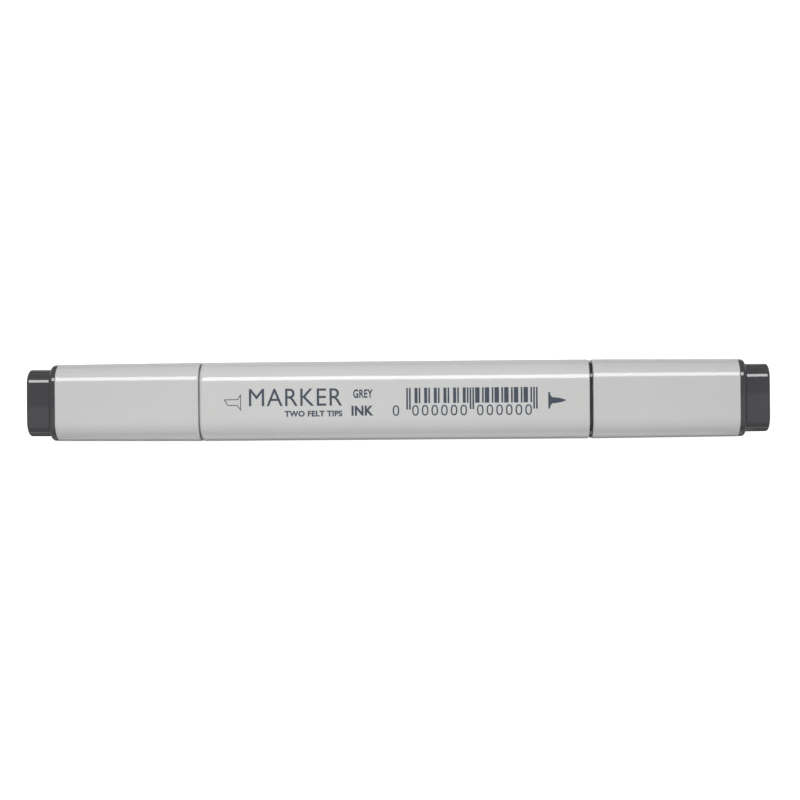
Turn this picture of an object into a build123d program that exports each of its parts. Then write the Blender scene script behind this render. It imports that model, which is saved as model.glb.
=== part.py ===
from build123d import *
import os

# Twin-tip felt marker, lying on one flat side.
#
# A square barrel with rounded long edges holds a fibre ink reservoir wrapped in film. A nib holder closes
# each end of it and carries a nib: a chisel nib at the broad end, a pointed one at the fine end. A dark ring
# on the fine end's collar tells the two ends apart. A pull-off cap covers each nib. It is a tapered shell,
# an end plug pressed into the shell, and a cup inside that seals round the nib holder.
#
# Frame: millimetres. +X runs along the pen towards the fine tip, +Y across it, +Z up. The origin is on the
# surface that the pen lies on, under the middle of its length.

BROAD, FINE = -1, 1  # the two ends, each named by the way its outward direction runs along X
FIT = 0.05  # clearance on each side where one piece slips into another

# Whole pen
LENGTH = 146.0
WIDTH = 15.6  # the barrel across its flats, and the pen's height as it lies
CORNER = 4.3  # radius of the barrel's long edges
RIM = 0.25  # rounding round each end of the cap shells
BARREL_RIM = {BROAD: 0.8, FINE: 0.25}  # and round the barrel's ends, softer where there is no ring
AXIS_Z = WIDTH / 2

# Cap shell, outwards from its mouth
SHELL_LENGTH = 28.5
SHELL_WALL = 1.1
SHELL_CORNER = 4.0  # radius of its long edges at the mouth, a little sharper than the barrel's
SHELL_DRAFT = 0.2  # how far each side draws in from mouth to end
MOUTH_LEAD = 0.3

# Cap end plug: a spigot inside the shell, a flange against its end, and a narrower block
SPIGOT = 12.9
SPIGOT_CORNER = 2.6
SPIGOT_LENGTH = 4.0
SPIGOT_LEAD = 0.4
FLANGE_INSET = 0.05  # how far each side stands in from the shell's end
FLANGE_THICKNESS = 1.25
FLANGE_RIM = 0.7
BLOCK = 13.3
BLOCK_CORNER = 3.0
BLOCK_LENGTH = 4.65
BLOCK_RIM = 0.55
BLOCK_FOOT = 0.15  # hollow rounding where the block meets the flange
PLUG_WALL = 1.0
PLUG_END_WALL = 1.2
SOCKET_RADIUS = 2.5  # takes the sealing cup's stem
SOCKET_WALL = 0.9

# Where the caps and the barrel end, from the middle of the pen
SHELL_END = LENGTH / 2 - BLOCK_LENGTH - FLANGE_THICKNESS
MOUTH = SHELL_END - SHELL_LENGTH
MOUTH_GAP = 0.1  # air between a cap's mouth and what it stops against
RING_THICKNESS = 0.55
SHOULDER = {BROAD: MOUTH - MOUTH_GAP, FINE: MOUTH - MOUTH_GAP - RING_THICKNESS}

# Ink reservoir
FIBRE_RADIUS = 5.55
FILM_THICKNESS = 0.15
FILM_INSET = 0.6
POCKET_DEPTH = 3.8  # for the nib's tail

# Barrel's inside: a square cavity, with a rib along the middle of each side to hold the reservoir
CAVITY = 12.4
CAVITY_CORNER = 2.4
RIB_WIDTH = 0.9
RIB_CREST = FIBRE_RADIUS + FILM_THICKNESS + FIT
SEAT_DEPTH = 7.0  # without ribs, for the nib holder's skirt

# Nib holder, outwards from the barrel's shoulder
SKIRT_BORE = 5.2
SKIRT_OPEN_DEPTH = 5.2
GUIDE_RADIUS = {BROAD: 4.1, FINE: 2.6}  # tube round the nib, inside the skirt
COLLAR = 13.0  # square part that the cap slides over
COLLAR_CORNER = 2.7
COLLAR_LENGTH = 6.0
COLLAR_LEAD = 0.7
BEAD_AT = 2.6
BEAD_WIDTH = 0.8
BEAD_HEIGHT = 0.12
LAND_RADIUS = 4.55  # round part that the cap's cup seals on
LAND_END = 9.5
NOSE_BASE_RADIUS = 4.2
NOSE_END = 14.5
BROAD_NOSE = (7.6, 5.6)
BROAD_NOSE_CORNER = 1.6
FINE_NOSE_RADIUS = 2.5
NOSE_RIM = 0.3
VENT_WIDTH = 0.7  # groove along the nib, which lets air into the reservoir
VENT_DEPTH = 0.5
RING_WIDTH = 14.6
RING_CORNER = 3.5

# Nibs, outwards from the barrel's shoulder, with a tail that reaches into the reservoir
NIB_TAIL = 10.5
TAIL_LEAD = 0.3
BROAD_NIB = (5.6, 3.6)
BROAD_NIB_CORNER = 0.8
BROAD_NIB_TIP = 22.0
BROAD_NIB_SLANT = 3.7  # how far the short side of the chisel edge stands back
CHISEL_RIM = 0.3
FINE_NIB_RADIUS = 1.5
FINE_NIB_TIP = 21.0
FINE_NIB_TAPER = 5.6
FINE_POINT_RADIUS = 0.45
FINE_POINT_RIM = 0.4

# Sealing cup, outwards from the cap's mouth
CUP_START = 6.9
CUP_END = 24.0
CUP_RADIUS = 5.5
CUP_BORE = LAND_RADIUS + FIT
CUP_FLOOR = 1.0
CUP_LEAD = 0.35
STEM_LENGTH = 3.6
FIN_START = 12.0
FIN_THICKNESS = 0.8
FIN_REACH = 6.4

PEN_AXIS = Axis((0, 0, AXIS_Z), (1, 0, 0))


def across(end, distance):
    """The cross-section plane that far from the pen's middle, facing outwards at that end, with y up."""
    return Plane(origin=(end * distance, 0, AXIS_Z), x_dir=(0, end, 0), z_dir=(end, 0, 0))


def lengthwise(end):
    """The upright plane through the pen's axis, whose x runs outwards at that end, with y up."""
    return Plane(origin=(0, 0, AXIS_Z), x_dir=(end, 0, 0), z_dir=(0, -end, 0))


def square(side, corner, mode=Mode.ADD):
    """A square with rounded corners, in the sketch that is open."""
    return RectangleRounded(side, side, corner, mode=mode)


def nib_outline(end, gap=0.0):
    """The nib's cross-section at that end, that much larger all round, in the sketch that is open."""
    if end == BROAD:
        width, height = BROAD_NIB
        return RectangleRounded(width + 2 * gap, height + 2 * gap, BROAD_NIB_CORNER + gap)
    return Circle(FINE_NIB_RADIUS + gap)


def face_towards(part, end):
    """The part's flat face that is furthest that way along the pen."""
    return part.faces().filter_by(Axis.X).sort_by(Axis((0, 0, 0), (end, 0, 0)))[-1]


def rim_towards(part, end):
    """The outer edges of the part's face at that end."""
    return face_towards(part, end).outer_wire().edges()


def make_barrel():
    """The body: a square tube, ribbed inside, so that air passes along the reservoir."""
    length = SHOULDER[BROAD] + SHOULDER[FINE]
    with BuildPart() as barrel:
        with BuildSketch(across(FINE, -SHOULDER[BROAD])):
            square(WIDTH, CORNER)
        extrude(amount=length)
        for end in (BROAD, FINE):
            fillet(rim_towards(barrel, end), BARREL_RIM[end])
        with BuildSketch(across(FINE, -SHOULDER[BROAD])):
            square(CAVITY, CAVITY_CORNER)
        extrude(amount=length, mode=Mode.SUBTRACT)
        rib_height = CAVITY / 2 - RIB_CREST
        with BuildSketch(across(FINE, SEAT_DEPTH - SHOULDER[BROAD])):
            with PolarLocations(CAVITY / 2, 4):
                Rectangle(rib_height, RIB_WIDTH, align=(Align.MAX, Align.CENTER))
        extrude(amount=length - 2 * SEAT_DEPTH)
    return barrel.part


def make_nib_holder(end):
    """Closes one end of the barrel: a skirt inside it, a square collar, a sealing land and a nose."""
    shoulder = SHOULDER[end]
    inner_end = shoulder - SEAT_DEPTH
    with BuildPart() as holder:
        with BuildSketch(across(end, inner_end)):
            square(CAVITY - 2 * FIT, CAVITY_CORNER - FIT)
        extrude(amount=SEAT_DEPTH)
        with BuildSketch(across(end, inner_end)):
            Circle(SKIRT_BORE)
            Circle(GUIDE_RADIUS[end], mode=Mode.SUBTRACT)
        extrude(amount=SKIRT_OPEN_DEPTH, mode=Mode.SUBTRACT)
        with BuildSketch(across(end, shoulder)):
            square(COLLAR, COLLAR_CORNER)
        extrude(amount=COLLAR_LENGTH)
        chamfer(rim_towards(holder, end), COLLAR_LEAD)
        with BuildSketch(across(end, shoulder + BEAD_AT)):
            square(COLLAR + 2 * BEAD_HEIGHT, COLLAR_CORNER + BEAD_HEIGHT)
        extrude(amount=BEAD_WIDTH)
        with BuildSketch(across(end, shoulder + COLLAR_LENGTH)):
            Circle(LAND_RADIUS)
        extrude(amount=LAND_END - COLLAR_LENGTH)
        with BuildSketch(across(end, shoulder + LAND_END)):
            Circle(NOSE_BASE_RADIUS)
        with BuildSketch(across(end, shoulder + NOSE_END)):
            if end == BROAD:
                RectangleRounded(*BROAD_NOSE, BROAD_NOSE_CORNER)
            else:
                Circle(FINE_NOSE_RADIUS)
        loft()
        fillet(rim_towards(holder, end), NOSE_RIM)
        nib_half_height = BROAD_NIB[1] / 2 if end == BROAD else FINE_NIB_RADIUS
        with BuildSketch(across(end, inner_end)):
            nib_outline(end, gap=FIT)
            with Locations((0, -nib_half_height)):
                Rectangle(VENT_WIDTH, 2 * VENT_DEPTH)
        extrude(amount=SEAT_DEPTH + NOSE_END, mode=Mode.SUBTRACT)
    return holder.part


def make_end_ring(end):
    """A thin ring on the collar, between the barrel's shoulder and the cap's mouth."""
    with BuildPart() as ring:
        with BuildSketch(across(end, SHOULDER[end])):
            square(RING_WIDTH, RING_CORNER)
            square(COLLAR + 2 * FIT, COLLAR_CORNER + FIT, mode=Mode.SUBTRACT)
        extrude(amount=RING_THICKNESS)
    return ring.part


def make_broad_nib():
    """A flat bar of felt, cut slantwise across its width to leave a long writing edge."""
    tail = SHOULDER[BROAD] - NIB_TAIL
    tip = SHOULDER[BROAD] + BROAD_NIB_TIP
    half_width = BROAD_NIB[0] / 2
    with BuildPart() as nib:
        with BuildSketch(across(BROAD, tail)):
            nib_outline(BROAD)
        extrude(amount=tip - tail)
        chamfer(rim_towards(nib, FINE), TAIL_LEAD)
        with BuildSketch(Plane.XY.offset(AXIS_Z)):
            with BuildLine():
                Polyline(
                    (-tip, half_width),
                    (-tip, -half_width),
                    (-tip + BROAD_NIB_SLANT, -half_width),
                    close=True,
                )
            make_face()
        extrude(amount=BROAD_NIB[1], both=True, mode=Mode.SUBTRACT)
        cut_face = nib.faces().sort_by(Axis.X)[0]
        fillet(cut_face.edges(), CHISEL_RIM)
    return nib.part


def make_fine_nib():
    """A round rod of felt that tapers to a small rounded point."""
    tail = SHOULDER[FINE] - NIB_TAIL
    tip = SHOULDER[FINE] + FINE_NIB_TIP
    with BuildPart() as nib:
        with BuildSketch(lengthwise(FINE)):
            with BuildLine():
                Polyline(
                    (tail, 0),
                    (tail, FINE_NIB_RADIUS - TAIL_LEAD),
                    (tail + TAIL_LEAD, FINE_NIB_RADIUS),
                    (tip - FINE_NIB_TAPER, FINE_NIB_RADIUS),
                    (tip, FINE_POINT_RADIUS),
                    (tip, 0),
                    close=True,
                )
            make_face()
        revolve(axis=PEN_AXIS)
        fillet(rim_towards(nib, FINE), FINE_POINT_RIM)
    return nib.part


def make_reservoir_core():
    """The fibre bundle that holds the ink, with a pocket in each end for a nib's tail."""
    ends = {end: SHOULDER[end] - SEAT_DEPTH for end in (BROAD, FINE)}
    with BuildPart() as core:
        with BuildSketch(across(FINE, -ends[BROAD])):
            Circle(FIBRE_RADIUS)
        extrude(amount=ends[BROAD] + ends[FINE])
        for end in (BROAD, FINE):
            with BuildSketch(across(end, ends[end] - POCKET_DEPTH)):
                nib_outline(end, gap=FIT)
            extrude(amount=POCKET_DEPTH, mode=Mode.SUBTRACT)
    return core.part


def make_reservoir_film():
    """The film round the fibre bundle, a little short of it at both ends."""
    broad_end = SHOULDER[BROAD] - SEAT_DEPTH - FILM_INSET
    fine_end = SHOULDER[FINE] - SEAT_DEPTH - FILM_INSET
    with BuildPart() as film:
        with BuildSketch(across(FINE, -broad_end)):
            Circle(FIBRE_RADIUS + FILM_THICKNESS)
            Circle(FIBRE_RADIUS, mode=Mode.SUBTRACT)
        extrude(amount=broad_end + fine_end)
    return film.part


def make_cap_shell(end):
    """The cap's sleeve: square, open at both ends, drawn in a little from the mouth outwards."""
    stations = ((MOUTH, WIDTH, SHELL_CORNER), (SHELL_END, WIDTH - 2 * SHELL_DRAFT, SHELL_CORNER - SHELL_DRAFT))
    with BuildPart() as shell:
        for distance, side, corner in stations:
            with BuildSketch(across(end, distance)):
                square(side, corner)
        loft()
        fillet(rim_towards(shell, end) + rim_towards(shell, -end), RIM)
        for distance, side, corner in stations:
            with BuildSketch(across(end, distance)):
                square(side - 2 * SHELL_WALL, corner - SHELL_WALL)
        loft(mode=Mode.SUBTRACT)
        chamfer(face_towards(shell, -end).inner_wires()[0].edges(), MOUTH_LEAD)
    return shell.part


def make_cap_end_plug(end):
    """Closes the cap's far end. It is hollow, with a socket in the middle for the sealing cup's stem."""
    spigot_start = SHELL_END - SPIGOT_LENGTH
    flange_width = WIDTH - 2 * SHELL_DRAFT - 2 * FLANGE_INSET
    flange_corner = SHELL_CORNER - SHELL_DRAFT - FLANGE_INSET
    hollow_end = LENGTH / 2 - PLUG_END_WALL
    socket_mouth = MOUTH + CUP_END
    with BuildPart() as plug:
        with BuildSketch(across(end, spigot_start)):
            square(SPIGOT, SPIGOT_CORNER)
        extrude(amount=SPIGOT_LENGTH)
        chamfer(rim_towards(plug, -end), SPIGOT_LEAD)
        with BuildSketch(across(end, SHELL_END)):
            square(flange_width, flange_corner)
        extrude(amount=FLANGE_THICKNESS)
        fillet(rim_towards(plug, end), FLANGE_RIM)
        with BuildSketch(across(end, SHELL_END + FLANGE_THICKNESS)):
            square(BLOCK, BLOCK_CORNER)
        extrude(amount=BLOCK_LENGTH)
        foot = plug.faces().filter_by(Axis.X).sort_by(Axis((0, 0, 0), (end, 0, 0)))[-2]
        fillet(foot.inner_wires()[0].edges(), BLOCK_FOOT)
        fillet(rim_towards(plug, end), BLOCK_RIM)
        with BuildSketch(across(end, spigot_start)):
            square(SPIGOT - 2 * PLUG_WALL, SPIGOT_CORNER - PLUG_WALL)
        extrude(amount=hollow_end - spigot_start, mode=Mode.SUBTRACT)
        with BuildSketch(across(end, socket_mouth)):
            Circle(SOCKET_RADIUS + SOCKET_WALL)
            Circle(SOCKET_RADIUS, mode=Mode.SUBTRACT)
        extrude(amount=hollow_end - socket_mouth)
    return plug.part


def make_cap_inner_seal(end):
    """The cup that keeps the nib from drying: finned outside to centre it, with a stem for the plug."""
    with BuildPart() as seal:
        with BuildSketch(across(end, MOUTH + CUP_START)):
            Circle(CUP_RADIUS)
        extrude(amount=CUP_END - CUP_START)
        chamfer(rim_towards(seal, -end), CUP_LEAD)
        with BuildSketch(across(end, MOUTH + FIN_START)):
            Rectangle(2 * FIN_REACH, FIN_THICKNESS)
            Rectangle(FIN_THICKNESS, 2 * FIN_REACH)
        extrude(amount=CUP_END - FIN_START)
        with BuildSketch(across(end, MOUTH + CUP_END)):
            Circle(SOCKET_RADIUS - FIT)
        extrude(amount=STEM_LENGTH)
        with BuildSketch(across(end, MOUTH + CUP_START)):
            Circle(CUP_BORE)
        extrude(amount=CUP_END - CUP_START - CUP_FLOOR, mode=Mode.SUBTRACT)
        chamfer(face_towards(seal, -end).inner_wires()[0].edges(), CUP_LEAD)
    return seal.part


def write(part, name):
    """Labels a finished piece and writes its STEP file."""
    part.label = name
    export_step(part, f"parts/{name}.step")


os.makedirs("parts", exist_ok=True)
write(make_barrel(), "barrel")
write(make_reservoir_core(), "ink_reservoir_core")
write(make_reservoir_film(), "reservoir_film")
write(make_broad_nib(), "broad_nib")
write(make_fine_nib(), "fine_nib")
write(make_end_ring(FINE), "fine_end_ring")
for end, side in ((BROAD, "broad"), (FINE, "fine")):
    write(make_nib_holder(end), f"{side}_nib_holder")
    write(make_cap_shell(end), f"{side}_cap_shell")
    write(make_cap_end_plug(end), f"{side}_cap_end_plug")
    write(make_cap_inner_seal(end), f"{side}_cap_inner_seal")
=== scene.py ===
import math

import bmesh
import bpy
from mathutils import Matrix, Vector


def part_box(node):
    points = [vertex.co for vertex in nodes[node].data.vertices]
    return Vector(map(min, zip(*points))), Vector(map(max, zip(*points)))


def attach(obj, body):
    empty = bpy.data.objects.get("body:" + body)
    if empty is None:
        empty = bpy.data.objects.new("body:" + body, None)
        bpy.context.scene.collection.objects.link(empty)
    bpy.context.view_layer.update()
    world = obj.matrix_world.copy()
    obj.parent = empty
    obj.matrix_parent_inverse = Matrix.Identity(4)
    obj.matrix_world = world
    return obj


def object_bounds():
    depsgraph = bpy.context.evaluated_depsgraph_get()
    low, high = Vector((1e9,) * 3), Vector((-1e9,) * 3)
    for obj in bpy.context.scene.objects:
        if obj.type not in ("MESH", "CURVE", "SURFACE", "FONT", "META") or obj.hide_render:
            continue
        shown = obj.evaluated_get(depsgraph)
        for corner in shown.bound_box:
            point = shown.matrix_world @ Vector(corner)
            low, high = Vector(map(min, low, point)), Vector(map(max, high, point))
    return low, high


# The looks of the twin-tip marker: materials for its CAD pieces, the printing on its barrel, a white table,
# studio lights and the camera. Everything is in metres, in the part's own frame: +X runs along the marker to
# the fine end, +Y across it, +Z up through the printed flat. Only the printing is drawn in mm.

MM = 0.001

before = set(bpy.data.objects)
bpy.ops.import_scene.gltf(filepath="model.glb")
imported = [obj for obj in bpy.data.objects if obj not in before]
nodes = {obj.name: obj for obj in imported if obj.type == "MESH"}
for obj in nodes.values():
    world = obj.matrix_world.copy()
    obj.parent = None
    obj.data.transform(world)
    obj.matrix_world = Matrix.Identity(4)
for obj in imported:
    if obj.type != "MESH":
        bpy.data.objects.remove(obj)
cad_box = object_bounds()
scene = bpy.context.scene
scene.view_settings.view_transform = "Standard"

# Heights read from the frame
TABLE_Z = cad_box[0].z
AXIS_Z = (cad_box[0].z + cad_box[1].z) / 2
TOP_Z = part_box("barrel")[1].z  # the barrel's printed flat


# ---------------------------------------------------------------- camera

CAMERA_HEIGHT = 0.296  # above the marker's axis
CAMERA_ALONG = 0.01103  # how far it stands towards the fine end
CAMERA_ACROSS = 0.00005
CAMERA_TILT = math.radians(1.993)  # back towards the marker's middle
CAMERA_ROLL = math.radians(0.452)
CAMERA_LENS, CAMERA_SENSOR = 66.5, 36  # mm
CAMERA_CLIP = (0.01, 40)


def make_camera():
    """Looks straight down on the printed flat, a little nearer to the fine end."""
    data = bpy.data.cameras.new("camera")
    data.lens = CAMERA_LENS
    data.sensor_width = CAMERA_SENSOR
    data.clip_start, data.clip_end = CAMERA_CLIP
    camera = bpy.data.objects.new("camera", data)
    scene.collection.objects.link(camera)
    turn = Matrix.Rotation(CAMERA_TILT, 4, "Y") @ Matrix.Rotation(-CAMERA_ROLL, 4, "Z")
    camera.matrix_world = Matrix.Translation((CAMERA_ALONG, CAMERA_ACROSS, AXIS_Z + CAMERA_HEIGHT)) @ turn
    scene.camera = camera


# ---------------------------------------------------------------- light and table

ROOM_ABOVE, ROOM_BELOW = 0.37, 0.26  # radiance of the room overhead and below the horizon
ROOM_FADE = (-0.3, 0.6)  # the upward part of the direction where it is dimmest, and where it is palest
STRIP_LIGHT = 7.0  # radiance of the narrow softbox, which draws the bright line along the corner
STRIP_DISTANCE = 1.1
STRIP_ANGLES = (math.radians(17.0), math.radians(36.0))  # its near and far edges, from straight up towards +Y
STRIP_LENGTH = 0.94
CARD_LIGHT = 0.20  # radiance that the overhead card adds
CARD_SIZE = (2.4, 1.3)
CARD_HEIGHT = 1.0
CARD_EDGE_Y = 0.0004
CARD_TURN = math.radians(0.63)
LAMP_LIGHT = 1.35  # radiance of a small near lamp, which makes the middle of the marker a little brighter
LAMP_SIZE = (0.12, 0.12)
LAMP_PLACE = (-0.022, 0.045, 0.155)
BOUNCE_LIGHT = 0.70  # radiance of two bounce cards that lie on the table on the -Y side
BOUNCE_HEIGHT = 0.2 * MM
BOUNCE_NEAR_Y, BOUNCE_STEP_Y, BOUNCE_FAR_Y = -0.025, -0.095, -0.925
BOUNCE_HALF_LENGTH = 1.0
END_X = 0.0745  # the nearer card stops here, so that the end plugs' lower edges stay dark
TABLE_HALF = 4.0
TABLE_SEEN = (0.55, 0.88)  # grey and glow of the table that the camera sees
TABLE_GREY = 0.65  # the table that light and the gloss see
TABLE_DEPTH = 0.02 * MM  # how far that lies under the other
# Its soft patches of painted shade near the marker: grey, centre, half size, half width of the fade
PAINTED_SHADE_PATCHES = (
    # painted shadow of the marker, beside it on the -Y side
    (0.15, (0.0, -0.0125), (0.082, 0.0125), 0.005),
    # painted shade along its far side
    (0.15, (0.0, 0.059), (0.1, 0.031), 0.004),
    # painted shade beyond both ends, on the -Y side
    (0.36, (-0.137, -0.06), (0.0625, 0.035), 0.004),
    (0.36, (0.137, -0.06), (0.0625, 0.035), 0.004),
)
BACKDROP_RADIUS = 3.0
BACKDROP_SEEN = (0.5, 1.0)  # grey and glow


def area_light(name, size, radiance, place, towards, turn=0.0):
    """A rectangular light with that radiance, which the camera doesn't see but surfaces reflect."""
    data = bpy.data.lights.new(name, "AREA")
    data.shape = "RECTANGLE"
    data.size, data.size_y = size
    data.energy = radiance * math.pi * size[0] * size[1]
    light = bpy.data.objects.new(name, data)
    scene.collection.objects.link(light)
    aim = (Vector(towards) - Vector(place)).to_track_quat("-Z", "Y").to_matrix().to_4x4()
    light.matrix_world = Matrix.Translation(place) @ aim @ Matrix.Rotation(turn, 4, "Z")
    light.visible_camera = False
    return light


def make_room():
    """The room all round: pale overhead, dimmer towards the horizon and below it."""
    world = bpy.data.worlds.new("room")
    scene.world = world
    world.use_nodes = True
    tree = world.node_tree
    background = tree.nodes["Background"]
    direction = tree.nodes.new("ShaderNodeTexCoord")
    split = tree.nodes.new("ShaderNodeSeparateXYZ")
    tree.links.new(direction.outputs["Generated"], split.inputs["Vector"])
    fade = tree.nodes.new("ShaderNodeMapRange")
    fade.inputs["From Min"].default_value, fade.inputs["From Max"].default_value = ROOM_FADE
    fade.inputs["To Min"].default_value = ROOM_BELOW
    fade.inputs["To Max"].default_value = ROOM_ABOVE
    tree.links.new(split.outputs["Z"], fade.inputs["Value"])
    background.inputs["Color"].default_value = (1.0, 1.0, 1.0, 1.0)
    tree.links.new(fade.outputs["Result"], background.inputs["Strength"])


def make_lights():
    """A strip softbox high on the +Y side, a card overhead, bounce cards on the table, and a near lamp."""
    near, far = STRIP_ANGLES
    middle = (near + far) / 2
    breadth = 2 * STRIP_DISTANCE * math.tan((far - near) / 2)
    place = (0, STRIP_DISTANCE * math.sin(middle), AXIS_Z + STRIP_DISTANCE * math.cos(middle))
    area_light("strip_softbox", (STRIP_LENGTH, breadth), STRIP_LIGHT, place, (0, 0, AXIS_Z))
    card_place = (0, CARD_EDGE_Y - CARD_SIZE[1] / 2, CARD_HEIGHT)
    card_below = (0, CARD_EDGE_Y - CARD_SIZE[1] / 2, 0)
    area_light("overhead_card", CARD_SIZE, CARD_LIGHT, card_place, card_below, CARD_TURN)
    bounce_cards = {
        "bounce_card_near": (END_X, BOUNCE_STEP_Y, BOUNCE_NEAR_Y),
        "bounce_card_far": (BOUNCE_HALF_LENGTH, BOUNCE_FAR_Y, BOUNCE_STEP_Y),
    }
    for name, (half_length, low_y, high_y) in bounce_cards.items():
        centre = Vector((0, (low_y + high_y) / 2, BOUNCE_HEIGHT))
        area_light(name, (2 * half_length, high_y - low_y), BOUNCE_LIGHT, centre, centre + Vector((0, 0, 1)))
    lamp = area_light("near_lamp", LAMP_SIZE, LAMP_LIGHT, LAMP_PLACE, (LAMP_PLACE[0], 0, AXIS_Z))
    lamp.visible_glossy = False


def stage_material(name, grey, glow):
    """A plain grey surface that glows white."""
    material = bpy.data.materials.new(name)
    material.use_nodes = True
    surface = material.node_tree.nodes["Principled BSDF"]
    surface.inputs["Base Color"].default_value = (grey, grey, grey, 1)
    surface.inputs["Roughness"].default_value = 0.9
    surface.inputs["Specular IOR Level"].default_value = 0.1
    surface.inputs["Emission Color"].default_value = (1, 1, 1, 1)
    surface.inputs["Emission Strength"].default_value = glow
    return material


def stage_object(name, mesh, material):
    """A part of the stage, which isn't part of the marker."""
    mesh.materials.append(material)
    sheet = bpy.data.objects.new(name, mesh)
    scene.collection.objects.link(sheet)
    return sheet


def table_sheet(name, height, material):
    """One flat sheet of the table, at that height."""
    mesh = bpy.data.meshes.new(name)
    signs = [(-1, -1), (1, -1), (1, 1), (-1, 1)]
    mesh.from_pydata([(x * TABLE_HALF, y * TABLE_HALF, height) for x, y in signs], [], [(0, 1, 2, 3)])
    return stage_object(name, mesh, material)


def seen_only(thing):
    """It is seen, but it neither lights the marker nor shows in its gloss."""
    thing.visible_diffuse = thing.visible_glossy = thing.visible_transmission = thing.visible_shadow = False


def make_table():
    """A light table and a white backdrop to look at, and just under it the table that the gloss shows."""
    seen_only(table_sheet("table_glow", TABLE_Z, stage_material("table_glow", *TABLE_SEEN)))
    table_sheet("table_reflected", TABLE_Z - TABLE_DEPTH, reflected_table()).visible_camera = False
    work = bmesh.new()
    bmesh.ops.create_uvsphere(work, u_segments=48, v_segments=24, radius=BACKDROP_RADIUS)
    mesh = bpy.data.meshes.new("backdrop")
    work.to_mesh(mesh)
    work.free()
    seen_only(stage_object("backdrop", mesh, stage_material("backdrop", *BACKDROP_SEEN)))


# ---------------------------------------------------------------- materials


class Shader:
    """A material with one Principled surface, and short ways to feed its sockets from textures."""

    def __init__(self, name, **sockets):
        self.material = bpy.data.materials.new(name)
        self.material.use_nodes = True
        self.tree = self.material.node_tree
        self.surface = self.tree.nodes["Principled BSDF"]
        for socket, value in sockets.items():
            self.surface.inputs[socket.replace("_", " ")].default_value = value
        coordinates = self.tree.nodes.new("ShaderNodeTexCoord")
        self.place = coordinates.outputs["Object"]

    def stretched(self, scale):
        """The object's own coordinates, multiplied along each axis."""
        mapping = self.tree.nodes.new("ShaderNodeMapping")
        mapping.inputs["Scale"].default_value = scale
        self.tree.links.new(self.place, mapping.inputs["Vector"])
        return mapping.outputs["Vector"]

    def noise(self, grain, detail=3.0, roughness=0.5, stretch=(1, 1, 1)):
        """Noise from 0 to 1 whose blobs are about that many metres across, longer where stretch is small."""
        texture = self.tree.nodes.new("ShaderNodeTexNoise")
        texture.inputs["Scale"].default_value = 1.0
        texture.inputs["Detail"].default_value = detail
        texture.inputs["Roughness"].default_value = roughness
        vector = self.stretched(tuple(s / grain for s in stretch))
        self.tree.links.new(vector, texture.inputs["Vector"])
        return texture.outputs["Fac"]

    def spread(self, value, low, high, low_out=0.0, high_out=1.0):
        """Value's range low to high, stretched to low_out to high_out and held there outside it."""
        map_range = self.tree.nodes.new("ShaderNodeMapRange")
        map_range.inputs["From Min"].default_value = low
        map_range.inputs["From Max"].default_value = high
        map_range.inputs["To Min"].default_value = low_out
        map_range.inputs["To Max"].default_value = high_out
        self.tree.links.new(value, map_range.inputs["Value"])
        return map_range.outputs["Result"]

    def maths(self, operation, a, b=0.0):
        """A Math node, each of whose inputs is a socket or a number."""
        node = self.tree.nodes.new("ShaderNodeMath")
        node.operation = operation
        for socket, value in zip(node.inputs, (a, b)):
            if isinstance(value, (int, float)):
                socket.default_value = value
            else:
                self.tree.links.new(value, socket)
        return node.outputs["Value"]

    def colour(self, share, first, second):
        """A colour between two, by share."""
        mix = self.tree.nodes.new("ShaderNodeMix")
        mix.data_type = "RGBA"
        ends = [socket for socket in mix.inputs if socket.type == "RGBA"]
        for socket, value in zip(ends, (first, second)):
            if isinstance(value, bpy.types.NodeSocket):
                self.tree.links.new(value, socket)
            else:
                socket.default_value = (*value, 1)
        self.tree.links.new(share, mix.inputs["Factor"])
        return next(socket for socket in mix.outputs if socket.type == "RGBA")

    def bump(self, height, depth, after=None):
        """A normal that rises and falls by depth metres as height goes from 0 to 1."""
        node = self.tree.nodes.new("ShaderNodeBump")
        node.inputs["Distance"].default_value = depth
        node.inputs["Strength"].default_value = 1.0
        self.tree.links.new(height, node.inputs["Height"])
        if after is not None:
            self.tree.links.new(after, node.inputs["Normal"])
        return node.outputs["Normal"]

    def feed(self, socket, value):
        """Links a texture to one of the surface's sockets."""
        self.tree.links.new(value, self.surface.inputs[socket])


def tint(colour, share):
    """The colour, made darker or lighter by a share."""
    return tuple(channel * share for channel in colour)


def reflected_table():
    """The white table, with soft patches of painted shade and painted shadow near the marker."""
    shader = Shader("table_reflected", Roughness=0.9, Specular_IOR_Level=0.1)
    split = shader.tree.nodes.new("ShaderNodeSeparateXYZ")
    shader.tree.links.new(shader.place, split.inputs["Vector"])
    colour = (TABLE_GREY,) * 3
    for grey, centre, half_size, fade in PAINTED_SHADE_PATCHES:
        inside = []
        for axis, middle, half in zip("XY", centre, half_size):
            away = shader.maths("ABSOLUTE", shader.maths("SUBTRACT", split.outputs[axis], middle))
            inside.append(shader.spread(away, half - fade, half + fade, 1.0, 0.0))
        # each patch paints shade into the table's colour
        colour = shader.colour(shader.maths("MULTIPLY", *inside), colour, (grey,) * 3)
    shader.feed("Base Color", colour)
    return shader.material


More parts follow.
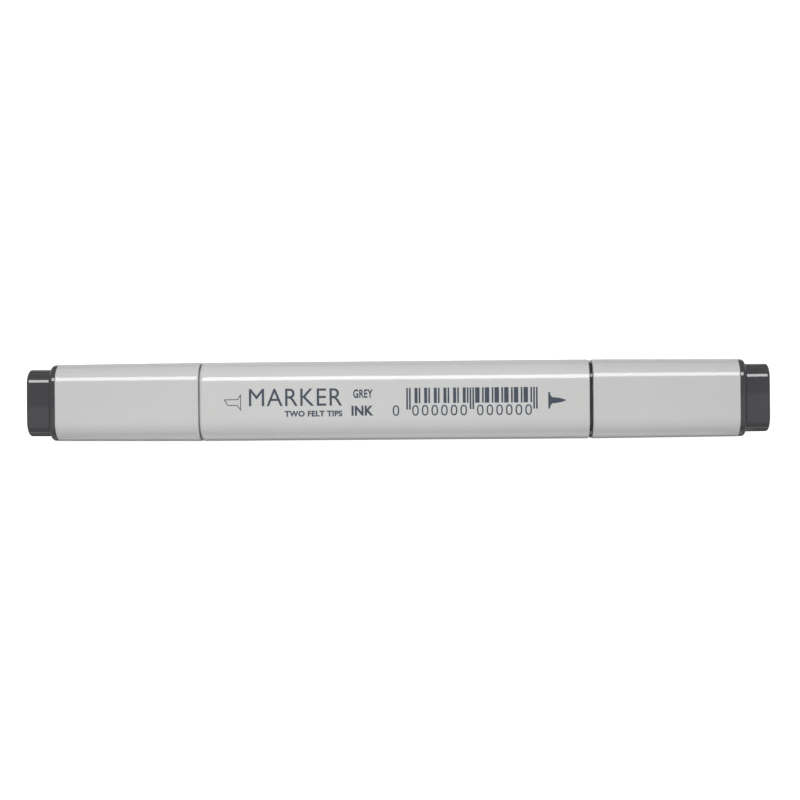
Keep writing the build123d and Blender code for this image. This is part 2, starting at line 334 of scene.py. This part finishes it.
def moulded_plastic(name, colour, gloss, wave=0.0, grain_depth=0.15e-6, mottle=0.02, ior=1.58):
    """Moulded plastic: faint flow mottling, fine grain, uneven gloss, and slow waves in the surface."""
    shader = Shader(name, IOR=ior)
    flow = shader.noise(9 * MM, detail=4, stretch=(0.35, 1, 1))
    speck = shader.noise(0.25 * MM, detail=2)
    mottled = shader.colour(shader.spread(flow, 0.3, 0.7), tint(colour, 1 - mottle), tint(colour, 1 + mottle))
    specked = shader.colour(shader.spread(speck, 0.62, 0.78, 0.0, 0.12), mottled, tint(colour, 0.8))
    shader.feed("Base Color", specked)
    smudge = shader.noise(5 * MM, detail=5, roughness=0.6)
    shader.feed("Roughness", shader.spread(smudge, 0.3, 0.7, gloss * 0.93, gloss * 1.08))
    grain = shader.noise(0.12 * MM, detail=3)
    normal = shader.bump(grain, grain_depth)
    if wave:
        swell = shader.noise(26 * MM, detail=0.0, stretch=(1, 0.45, 0.45))
        normal = shader.bump(swell, wave, after=normal)
    shader.feed("Normal", normal)
    return shader.material


def felt(name, colour):
    """Pressed and ink-soaked fibre: long fine strands along the nib, each a little lighter or darker."""
    shader = Shader(name, Roughness=0.85, Specular_IOR_Level=0.25, Sheen_Weight=0.25, Sheen_Roughness=0.5)
    strand = shader.noise(0.10 * MM, detail=4, roughness=0.65, stretch=(0.09, 1, 1))
    soak = shader.noise(1.6 * MM, detail=3)
    dyed = shader.colour(shader.spread(strand, 0.32, 0.70), tint(colour, 0.55), tint(colour, 1.9))
    pale = shader.spread(soak, 0.35, 0.75, 0.0, 0.35)
    shader.feed("Base Color", shader.colour(pale, dyed, tint(colour, 1.6)))
    shader.feed("Normal", shader.bump(strand, 25e-6))
    return shader.material


def milky_plastic(name, colour):
    """Natural soft polyethylene: pale, waxy, and a little translucent."""
    shader = Shader(name, IOR=1.5, Subsurface_Weight=0.35, Subsurface_Scale=1.5 * MM)
    shader.surface.inputs["Subsurface Radius"].default_value = (1.0, 0.95, 0.85)
    cloud = shader.noise(3 * MM, detail=4)
    shader.feed("Base Color", shader.colour(shader.spread(cloud, 0.3, 0.7), tint(colour, 0.94), colour))
    shader.feed("Roughness", shader.spread(shader.noise(1.2 * MM, detail=3), 0.3, 0.7, 0.38, 0.5))
    shader.feed("Normal", shader.bump(shader.noise(0.3 * MM, detail=3), 3e-6))
    return shader.material


def clear_film(name):
    """The thin film round the reservoir: clear, glossy and slightly creased."""
    shader = Shader(name, Base_Color=(0.85, 0.87, 0.88, 1), Roughness=0.12, IOR=1.5, Alpha=0.45)
    crease = shader.noise(2.2 * MM, detail=5, roughness=0.6, stretch=(0.4, 1, 1))
    shader.feed("Normal", shader.bump(crease, 60e-6))
    return shader.material


def printing_ink(name, colour):
    """Pad-printed ink: flat dark blue-grey that covers a little unevenly."""
    shader = Shader(name, IOR=1.5)
    cover = shader.noise(0.35 * MM, detail=4, roughness=0.6)
    thin = shader.spread(cover, 0.35, 0.75)
    shader.feed("Base Color", shader.colour(thin, tint(colour, 0.88), tint(colour, 1.3)))
    shader.feed("Roughness", shader.spread(cover, 0.3, 0.7, 0.32, 0.45))
    shader.feed("Normal", shader.bump(cover, 1.5e-6))
    return shader.material


BARREL_GREY = (0.525, 0.526, 0.521)
SHELL_GREY = (0.510, 0.511, 0.507)
PLUG_GREY = (0.038, 0.037, 0.042)
RING_GREY = (0.014, 0.010, 0.011)
HOLDER_GREY = (0.60, 0.60, 0.59)
SEAL_WHITE = (0.80, 0.80, 0.77)
INK_GREY = (0.055, 0.055, 0.060)
PRINT_BLUE_GREY = (0.032, 0.045, 0.069)


def dress(material, *names):
    """Puts one material on those CAD nodes."""
    for name in names:
        mesh = nodes[name].data
        mesh.materials.clear()
        mesh.materials.append(material)


def dress_cad_nodes():
    """Every CAD node gets its finished material."""
    dress(moulded_plastic("barrel_plastic", BARREL_GREY, 0.10, wave=0.03 * MM), "barrel")
    shell = moulded_plastic("cap_shell_plastic", SHELL_GREY, 0.11, wave=0.035 * MM, ior=1.55)
    dress(shell, "broad_cap_shell", "fine_cap_shell")
    plug = moulded_plastic("end_plug_plastic", PLUG_GREY, 0.02, grain_depth=0.02e-6, mottle=0.05, ior=1.7)
    dress(plug, "broad_cap_end_plug", "fine_cap_end_plug")
    dress(moulded_plastic("ring_plastic", RING_GREY, 0.12, mottle=0.05), "fine_end_ring")
    holder = moulded_plastic("holder_plastic", HOLDER_GREY, 0.32, grain_depth=1e-6)
    dress(holder, "broad_nib_holder", "fine_nib_holder")
    dress(milky_plastic("seal_plastic", SEAL_WHITE), "broad_cap_inner_seal", "fine_cap_inner_seal")
    dress(felt("nib_felt", INK_GREY), "broad_nib", "fine_nib")
    dress(felt("reservoir_fibre", tint(INK_GREY, 1.3)), "ink_reservoir_core")
    dress(clear_film("reservoir_film"), "reservoir_film")


# ---------------------------------------------------------------- printing on the barrel

PRINT_THICKNESS = 0.02 * MM
PRINT_SINK = 0.01 * MM  # how far its underside lies in the barrel, so that no gap shows
PRINT_AXIS_Y = -0.22  # mm, the line through both nib pictures
PICTURE_LINE = 0.16  # mm, the width of the chisel nib's outline
MITRE_LIMIT = 0.35  # how sharp a corner may be before its mitre is cut short


def prism(work, outline):
    """Adds one flat shape to the mesh: an anticlockwise polygon in mm, thickened at the barrel's top."""
    low, high = TOP_Z - PRINT_SINK, TOP_Z + PRINT_THICKNESS
    below = [work.verts.new((x * MM, y * MM, low)) for x, y in outline]
    above = [work.verts.new((x * MM, y * MM, high)) for x, y in outline]
    work.faces.new(above)
    work.faces.new(below[::-1])
    count = len(outline)
    for i in range(count):
        j = (i + 1) % count
        work.faces.new((below[i], below[j], above[j], above[i]))


def rectangle(left, bottom, right, top):
    """The corners of an upright rectangle, anticlockwise."""
    return [(left, bottom), (right, bottom), (right, top), (left, top)]


def ribbon(work, points, width):
    """Adds a closed line of that width along the points, given anticlockwise and mitred at each turn."""
    low, high = TOP_Z - PRINT_SINK, TOP_Z + PRINT_THICKNESS
    count = len(points)
    corners = []
    for i in range(count):
        before, here, after = Vector(points[i - 1]), Vector(points[i]), Vector(points[(i + 1) % count])
        into, out = (here - before).normalized(), (after - here).normalized()
        across = Vector((-into.y - out.y, into.x + out.x)).normalized()
        reach = across * (width / 2 / max(MITRE_LIMIT, across.dot(Vector((-into.y, into.x)))))
        sides = (here - reach, here + reach)
        corners.append([work.verts.new((*(side * MM), height)) for side in sides for height in (low, high)])
    for i in range(count):
        outer_low, outer_high, inner_low, inner_high = corners[i]
        next_outer_low, next_outer_high, next_inner_low, next_inner_high = corners[(i + 1) % count]
        work.faces.new((outer_high, next_outer_high, next_inner_high, inner_high))
        work.faces.new((inner_low, next_inner_low, next_outer_low, outer_low))
        work.faces.new((outer_low, next_outer_low, next_outer_high, outer_high))
        work.faces.new((next_inner_low, inner_low, inner_high, next_inner_high))


def print_mark(name, work, ink):
    """Turns the drawing into an object of its own, which rides on the barrel."""
    mesh = bpy.data.meshes.new(name)
    work.to_mesh(mesh)
    work.free()
    mark = bpy.data.objects.new(name, mesh)
    scene.collection.objects.link(mark)
    mesh.materials.append(ink)
    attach(mark, "barrel")


def print_drawing(name, draw, ink):
    """Prints one picture or code."""
    work = bmesh.new()
    draw(work)
    print_mark(name, work, ink)


def broad_nib_picture(work):
    """The outline of a chisel nib that points to the broad end, with a flared foot."""
    blade = [(-30.85, 0.6), (-33.45, 0.55), (-32.75, -0.53), (-30.95, -0.53)]
    foot = [(-30.25, -1.45), (-30.25, 1.5)]
    ribbon(work, [(x, y + PRINT_AXIS_Y) for x, y in blade + foot], PICTURE_LINE)


def fine_nib_picture(work):
    """A solid pointed nib that points to the fine end, with a flared foot."""
    point = [(33.35, 0.0), (32.9, 0.22), (32.2, 0.42), (31.3, 0.55), (30.65, 0.6)]
    upper = point + [(30.3, 1.0), (30.15, 1.62), (29.85, 1.62)]
    lower = [(x, -y) for x, y in upper[:0:-1]]
    prism(work, [(x, y + PRINT_AXIS_Y) for x, y in upper + lower])


# The bar code, in mm. A 1 in a pattern is a bar, one module wide, and a 0 is a gap.
BARS_LEFT = 2.26
BARS_TOP, BARS_BOTTOM, GUARDS_BOTTOM = 2.40, -0.60, -1.83
MODULE = 0.2685
INK_SPREAD = 0.03  # how far the ink spreads past each side of a bar
ZERO_LEFT_HALF, ZERO_RIGHT_HALF = "0001101", "1110010"
GUARD, MIDDLE_GUARD = "101", "01010"
DIGITS_IN_HALF = 6


def blank_bar_code(work):
    """A bar code that holds only zeros: guards at both ends and in the middle reach lower than the rest."""
    left_half, right_half = [ZERO_LEFT_HALF] * DIGITS_IN_HALF, [ZERO_RIGHT_HALF] * DIGITS_IN_HALF
    left = BARS_LEFT
    for modules in [GUARD, *left_half, MIDDLE_GUARD, *right_half, GUARD]:
        bottom = GUARDS_BOTTOM if modules in (GUARD, MIDDLE_GUARD) else BARS_BOTTOM
        start = None
        for place, module in enumerate(modules + "0"):
            if module == "1" and start is None:
                start = place
            if module == "0" and start is not None:
                first, last = left + start * MODULE - INK_SPREAD, left + place * MODULE + INK_SPREAD
                prism(work, rectangle(first, bottom, last, BARS_TOP))
                start = None
        left += len(modules) * MODULE


# The noughts under the bar code, in mm
ZERO_HALF_WIDTH, ZERO_HALF_HEIGHT = 0.51, 0.90
ZERO_Y = -2.0
FIRST_ZERO_X = 0.2
ZERO_LINE = 0.27
ZERO_SQUARENESS = 0.8  # 1 would be an ellipse
ZERO_STEPS = 28


def squared(value):
    """A sine or cosine, pushed outwards, which makes a round nought a little squarer."""
    return math.copysign(abs(value) ** ZERO_SQUARENESS, value)


def zeros(work):
    """The row of noughts under the bar code, one before it and two groups of six."""
    digit = len(ZERO_LEFT_HALF) * MODULE
    left_group = BARS_LEFT + len(GUARD) * MODULE
    right_group = left_group + DIGITS_IN_HALF * digit + len(MIDDLE_GUARD) * MODULE
    groups = (left_group, right_group)
    centres = [start + (i + 0.5) * digit for start in groups for i in range(DIGITS_IN_HALF)]
    turns = [2 * math.pi * step / ZERO_STEPS for step in range(ZERO_STEPS)]
    for centre in [FIRST_ZERO_X, *centres]:
        ring = [(centre + squared(math.cos(turn)) * ZERO_HALF_WIDTH,
                 ZERO_Y + squared(math.sin(turn)) * ZERO_HALF_HEIGHT) for turn in turns]
        ribbon(work, ring, ZERO_LINE)


LETTER_SPACING = 1.06
SAME_POINT = 1e-5  # points of a letter nearer than this are joined, while it is about 1 high
# Plain words, each with the box in mm that it fills (left, bottom, right, top) and how much bolder it is
WORDS = {
    "print_name": ("MARKER", (-28.6, -0.95, -10.3, 2.45), 0.0),
    "print_note": ("TWO FELT TIPS", (-21.6, -3.06, -10.3, -1.9), 0.04),
    "print_colour": ("GREY", (-8.15, 0.5, -4.3, 2.2), 0.03),
    "print_kind": ("INK", (-8.5, -2.95, -4.2, -1.0), 0.038),
}


def flat_words(name, text, weight):
    """Plain words in a plain typeface, as a flat mesh with letters about 1 high."""
    curve = bpy.data.curves.new(name, "FONT")
    curve.body = text
    curve.space_character = LETTER_SPACING
    curve.offset = weight
    lettering = bpy.data.objects.new(name + "_text", curve)
    scene.collection.objects.link(lettering)
    bpy.context.view_layer.update()
    flat = bpy.data.meshes.new_from_object(lettering.evaluated_get(bpy.context.evaluated_depsgraph_get()))
    bpy.data.objects.remove(lettering)
    bpy.data.curves.remove(curve)
    work = bmesh.new()
    work.from_mesh(flat)
    bpy.data.meshes.remove(flat)
    bmesh.ops.remove_doubles(work, verts=work.verts[:], dist=SAME_POINT)
    return work


def print_words(name, text, box, weight, ink):
    """Prints plain words, fitted to their box on the barrel."""
    work = flat_words(name, text, weight)
    xs, ys = [v.co.x for v in work.verts], [v.co.y for v in work.verts]
    left, bottom, right, top = box
    along, up = (right - left) / (max(xs) - min(xs)), (top - bottom) / (max(ys) - min(ys))
    for v, x, y in zip(work.verts, xs, ys):
        v.co = ((left + (x - min(xs)) * along) * MM, (bottom + (y - min(ys)) * up) * MM, TOP_Z - PRINT_SINK)
    lifted = bmesh.ops.extrude_face_region(work, geom=work.faces[:])
    for item in lifted["geom"]:
        if isinstance(item, bmesh.types.BMVert):
            item.co.z = TOP_Z + PRINT_THICKNESS
    bmesh.ops.recalc_face_normals(work, faces=work.faces[:])
    for face in work.faces:
        face.smooth = False
    print_mark(name, work, ink)


def print_barrel():
    """Everything that is printed on the barrel, one object each."""
    ink = printing_ink("print_ink", PRINT_BLUE_GREY)
    print_drawing("print_broad_nib_picture", broad_nib_picture, ink)
    print_drawing("print_fine_nib_picture", fine_nib_picture, ink)
    print_drawing("print_blank_bar_code", blank_bar_code, ink)
    print_drawing("print_zeros", zeros, ink)
    for name, (text, box, weight) in WORDS.items():
        print_words(name, text, box, weight, ink)


make_camera()
make_room()
make_lights()
make_table()
dress_cad_nodes()
print_barrel()
